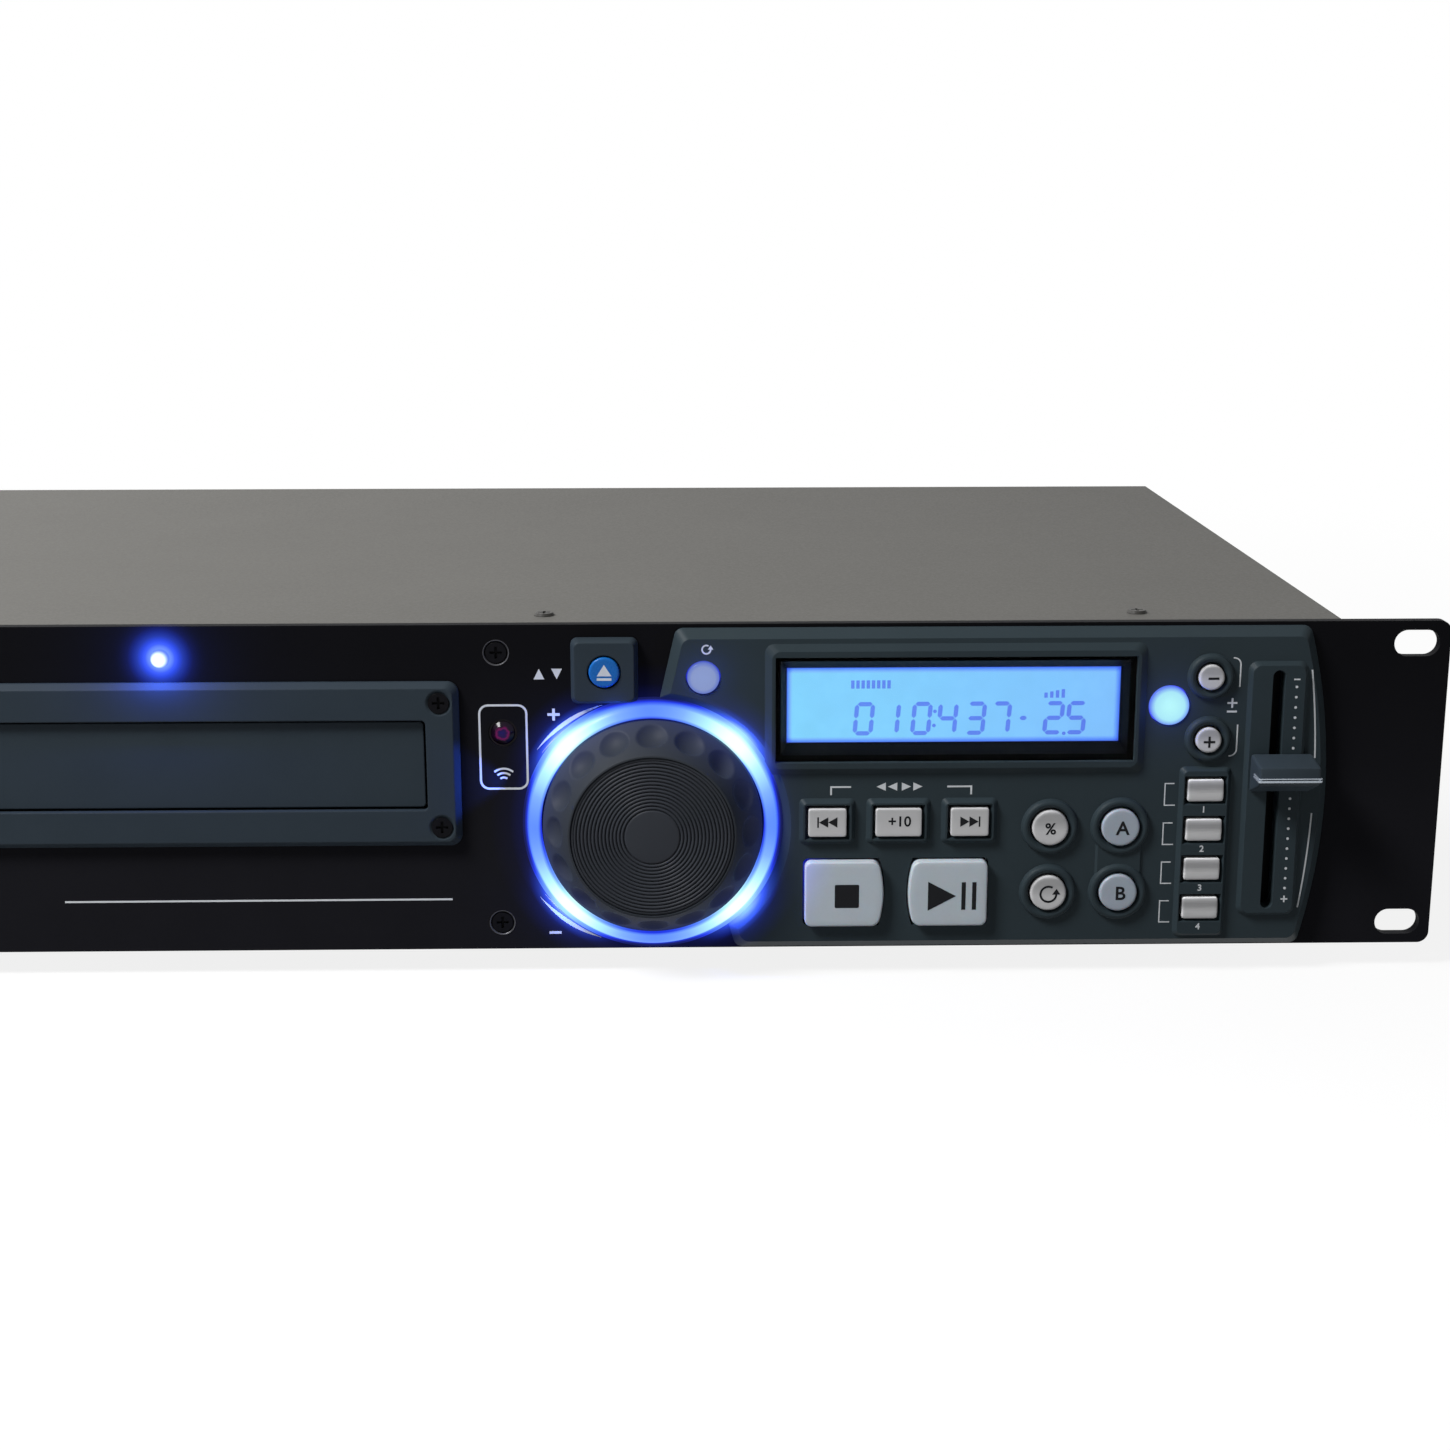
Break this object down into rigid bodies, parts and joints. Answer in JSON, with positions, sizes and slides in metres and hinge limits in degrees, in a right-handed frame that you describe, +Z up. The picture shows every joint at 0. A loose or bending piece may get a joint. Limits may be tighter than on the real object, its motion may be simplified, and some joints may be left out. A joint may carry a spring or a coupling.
{
  "type": "rack-mount cd player",
  "caption": "Rack-mount disc player: flat steel case with a slotted front panel, disc tray, jog wheel, backlit display, key pad and pitch fader.",
  "frame": {"origin": "centre of the four rack slots on the back face of the front panel", "axes": "+X to the right seen from the front, +Y to the back of the case, +Z up"},
  "size_m": [0.4826, 0.2899, 0.095],
  "materials": {
    "panel_black": "satin",
    "cover_grey": "satin",
    "chassis_steel": "satin",
    "rubber_black": "matte",
    "screw_black": "satin",
    "bezel_slate": "satin",
    "black_plastic": "matte",
    "clear_pane": "gloss",
    "lcd_blue": "gloss",
    "ring_blue": "gloss",
    "sensor_red": "gloss",
    "led_blue": "gloss",
    "board_green": "satin",
    "jack_metal": "gloss",
    "ribbon_grey": "satin",
    "bare_steel": "satin",
    "alloy": "satin",
    "gear_white": "satin",
    "wheel_rubber": "satin",
    "insert_dark": "satin",
    "rocker_red": "gloss",
    "key_silver": "satin",
    "key_white": "satin",
    "key_blue": "gloss",
    "key_lit": "gloss"
  },
  "bodies": {
    "chassis": {"front_panel": "panel_black", "base_pan": "chassis_steel", "top_cover": "cover_grey", "rear_panel": "chassis_steel", "rubber_feet": "rubber_black", "cover_screws": "screw_black", "front_screws": "screw_black", "tray_bezel": "bezel_slate", "control_bezel": "bezel_slate", "eject_plate": "bezel_slate", "display_frame": "black_plastic", "display_lens": "clear_pane", "lcd_module": "lcd_blue", "jog_light_ring": "ring_blue", "sensor_lens": "sensor_red", "status_led": "led_blue", "control_board": "board_green", "main_board": "board_green", "power_supply": "board_green", "mains_inlet": "black_plastic", "output_jacks": "jack_metal", "flat_cables": "ribbon_grey", "loader_frame": "black_plastic", "load_motor": "bare_steel", "drive_belt": "rubber_black", "clamp_bridge": "bare_steel"},
    "tray": {"disc_tray": "black_plastic", "tray_front": "bezel_slate"},
    "tray_gear": {"tray_gear": "gear_white"},
    "pulley_gear": {"pulley_gear": "gear_white"},
    "motor_pulley": {"motor_pulley": "gear_white"},
    "traverse": {"traverse_frame": "alloy", "guide_rods": "bare_steel", "traverse_motors": "bare_steel"},
    "turntable": {"turntable_hub": "black_plastic"},
    "sled": {"laser_sled": "black_plastic"},
    "lead_screw": {"lead_screw": "bare_steel"},
    "clamp_puck": {"clamp_puck": "gear_white"},
    "jog": {"jog_wheel": "wheel_rubber", "jog_insert": "insert_dark"},
    "power_rocker": {"power_rocker": "rocker_red"},
    "fader": {"fader_cap": "bezel_slate"},
    "eject_key": {"eject_key": "key_blue"},
    "jog_mode_key": {"jog_mode_key": "key_lit"},
    "track_back_key": {"track_back_key": "key_silver"},
    "plus_ten_key": {"plus_ten_key": "key_silver"},
    "track_next_key": {"track_next_key": "key_silver"},
    "cue_key": {"cue_key": "key_white"},
    "play_key": {"play_key": "key_white"},
    "pitch_key": {"pitch_key": "key_silver"},
    "reloop_key": {"reloop_key": "key_silver"},
    "loop_in_key": {"loop_in_key": "key_white"},
    "loop_out_key": {"loop_out_key": "key_white"},
    "bend_down_key": {"bend_down_key": "key_silver"},
    "bend_up_key": {"bend_up_key": "key_silver"},
    "lit_pitch_key": {"lit_pitch_key": "key_lit"},
    "time_key": {"time_key": "key_silver"},
    "single_key": {"single_key": "key_silver"},
    "program_key": {"program_key": "key_silver"},
    "repeat_key": {"repeat_key": "key_silver"}
  },
  "joints": [
    {"name": "tray_slide", "type": "slide", "parent": "chassis", "child": "tray", "axis": [0, -1, 0], "range_m": [0, 0.138]},
    {"name": "tray_gear_turn", "type": "hinge", "parent": "chassis", "child": "tray_gear", "pos_m": [-0.1412, 0.022, 0], "axis": [0, 0, 1], "range_deg": [0, 795.7]},
    {"name": "pulley_gear_turn", "type": "hinge", "parent": "chassis", "child": "pulley_gear", "pos_m": [-0.1231, 0.022, 0], "axis": [0, 0, 1], "range_deg": [-993.4, 0]},
    {"name": "motor_pulley_turn", "type": "hinge", "parent": "chassis", "child": "motor_pulley", "pos_m": [-0.0851, 0.022, 0], "axis": [0, 0, 1], "range_deg": [-3718, 0]},
    {"name": "traverse_tilt", "type": "hinge", "parent": "chassis", "child": "traverse", "pos_m": [-0.1005, 0.176, -0.0085], "axis": [1, 0, 0], "range_deg": [0, 4.2]},
    {"name": "turntable_spin", "type": "hinge", "parent": "traverse", "child": "turntable", "pos_m": [-0.1005, 0.072, 0], "axis": [0, 0, 1], "continuous": true},
    {"name": "sled_slide", "type": "slide", "parent": "traverse", "child": "sled", "axis": [0, 1, 0], "range_m": [0, 0.034]},
    {"name": "lead_screw_turn", "type": "hinge", "parent": "traverse", "child": "lead_screw", "pos_m": [-0.0665, 0.11, -0.0056], "axis": [0, 1, 0], "range_deg": [0, 4085]},
    {"name": "clamp_puck_spin", "type": "hinge", "parent": "chassis", "child": "clamp_puck", "pos_m": [-0.1005, 0.072, 0.015], "axis": [0, 0, 1], "continuous": true},
    {"name": "jog_turn", "type": "hinge", "parent": "chassis", "child": "jog", "pos_m": [0.0332, 0, -0.0094], "axis": [0, -1, 0], "continuous": true},
    {"name": "power_rocker_tilt", "type": "hinge", "parent": "chassis", "child": "power_rocker", "pos_m": [0.169, 0.26, -0.014], "axis": [1, 0, 0], "range_deg": [-18, 0]},
    {"name": "pitch_fader_slide", "type": "slide", "parent": "chassis", "child": "fader", "axis": [0, 0, 1], "range_m": [-0.035, 0.0249]},
    {"name": "eject_key_press", "type": "slide", "parent": "chassis", "child": "eject_key", "axis": [0, 1, 0], "range_m": [0, 0.0008], "stiffness_N_per_m": 400},
    {"name": "jog_mode_key_press", "type": "slide", "parent": "chassis", "child": "jog_mode_key", "axis": [0, 1, 0], "range_m": [0, 0.0008], "stiffness_N_per_m": 400},
    {"name": "track_back_key_press", "type": "slide", "parent": "chassis", "child": "track_back_key", "axis": [0, 1, 0], "range_m": [0, 0.0008], "stiffness_N_per_m": 400},
    {"name": "plus_ten_key_press", "type": "slide", "parent": "chassis", "child": "plus_ten_key", "axis": [0, 1, 0], "range_m": [0, 0.0008], "stiffness_N_per_m": 400},
    {"name": "track_next_key_press", "type": "slide", "parent": "chassis", "child": "track_next_key", "axis": [0, 1, 0], "range_m": [0, 0.0008], "stiffness_N_per_m": 400},
    {"name": "cue_key_press", "type": "slide", "parent": "chassis", "child": "cue_key", "axis": [0, 1, 0], "range_m": [0, 0.0008], "stiffness_N_per_m": 400},
    {"name": "play_key_press", "type": "slide", "parent": "chassis", "child": "play_key", "axis": [0, 1, 0], "range_m": [0, 0.0008], "stiffness_N_per_m": 400},
    {"name": "pitch_key_press", "type": "slide", "parent": "chassis", "child": "pitch_key", "axis": [0, 1, 0], "range_m": [0, 0.0008], "stiffness_N_per_m": 400},
    {"name": "reloop_key_press", "type": "slide", "parent": "chassis", "child": "reloop_key", "axis": [0, 1, 0], "range_m": [0, 0.0008], "stiffness_N_per_m": 400},
    {"name": "loop_in_key_press", "type": "slide", "parent": "chassis", "child": "loop_in_key", "axis": [0, 1, 0], "range_m": [0, 0.0008], "stiffness_N_per_m": 400},
    {"name": "loop_out_key_press", "type": "slide", "parent": "chassis", "child": "loop_out_key", "axis": [0, 1, 0], "range_m": [0, 0.0008], "stiffness_N_per_m": 400},
    {"name": "bend_down_key_press", "type": "slide", "parent": "chassis", "child": "bend_down_key", "axis": [0, 1, 0], "range_m": [0, 0.0008], "stiffness_N_per_m": 400},
    {"name": "bend_up_key_press", "type": "slide", "parent": "chassis", "child": "bend_up_key", "axis": [0, 1, 0], "range_m": [0, 0.0008], "stiffness_N_per_m": 400},
    {"name": "lit_pitch_key_press", "type": "slide", "parent": "chassis", "child": "lit_pitch_key", "axis": [0, 1, 0], "range_m": [0, 0.0008], "stiffness_N_per_m": 400},
    {"name": "time_key_press", "type": "slide", "parent": "chassis", "child": "time_key", "axis": [0, 1, 0], "range_m": [0, 0.0008], "stiffness_N_per_m": 400},
    {"name": "single_key_press", "type": "slide", "parent": "chassis", "child": "single_key", "axis": [0, 1, 0], "range_m": [0, 0.0008], "stiffness_N_per_m": 400},
    {"name": "program_key_press", "type": "slide", "parent": "chassis", "child": "program_key", "axis": [0, 1, 0], "range_m": [0, 0.0008], "stiffness_N_per_m": 400},
    {"name": "repeat_key_press", "type": "slide", "parent": "chassis", "child": "repeat_key", "axis": [0, 1, 0], "range_m": [0, 0.0008], "stiffness_N_per_m": 400}
  ],
  "couplings": [
    {"joint": "tray_gear_turn", "follows": "tray_slide", "rad_per_m": 100},
    {"joint": "pulley_gear_turn", "follows": "tray_slide", "rad_per_m": -125},
    {"joint": "motor_pulley_turn", "follows": "tray_slide", "rad_per_m": -469.59},
    {"joint": "traverse_tilt", "follows": "tray_slide", "rad_per_m": 0.50589},
    {"joint": "lead_screw_turn", "follows": "sled_slide", "rad_per_m": 2094.4}
  ]
}
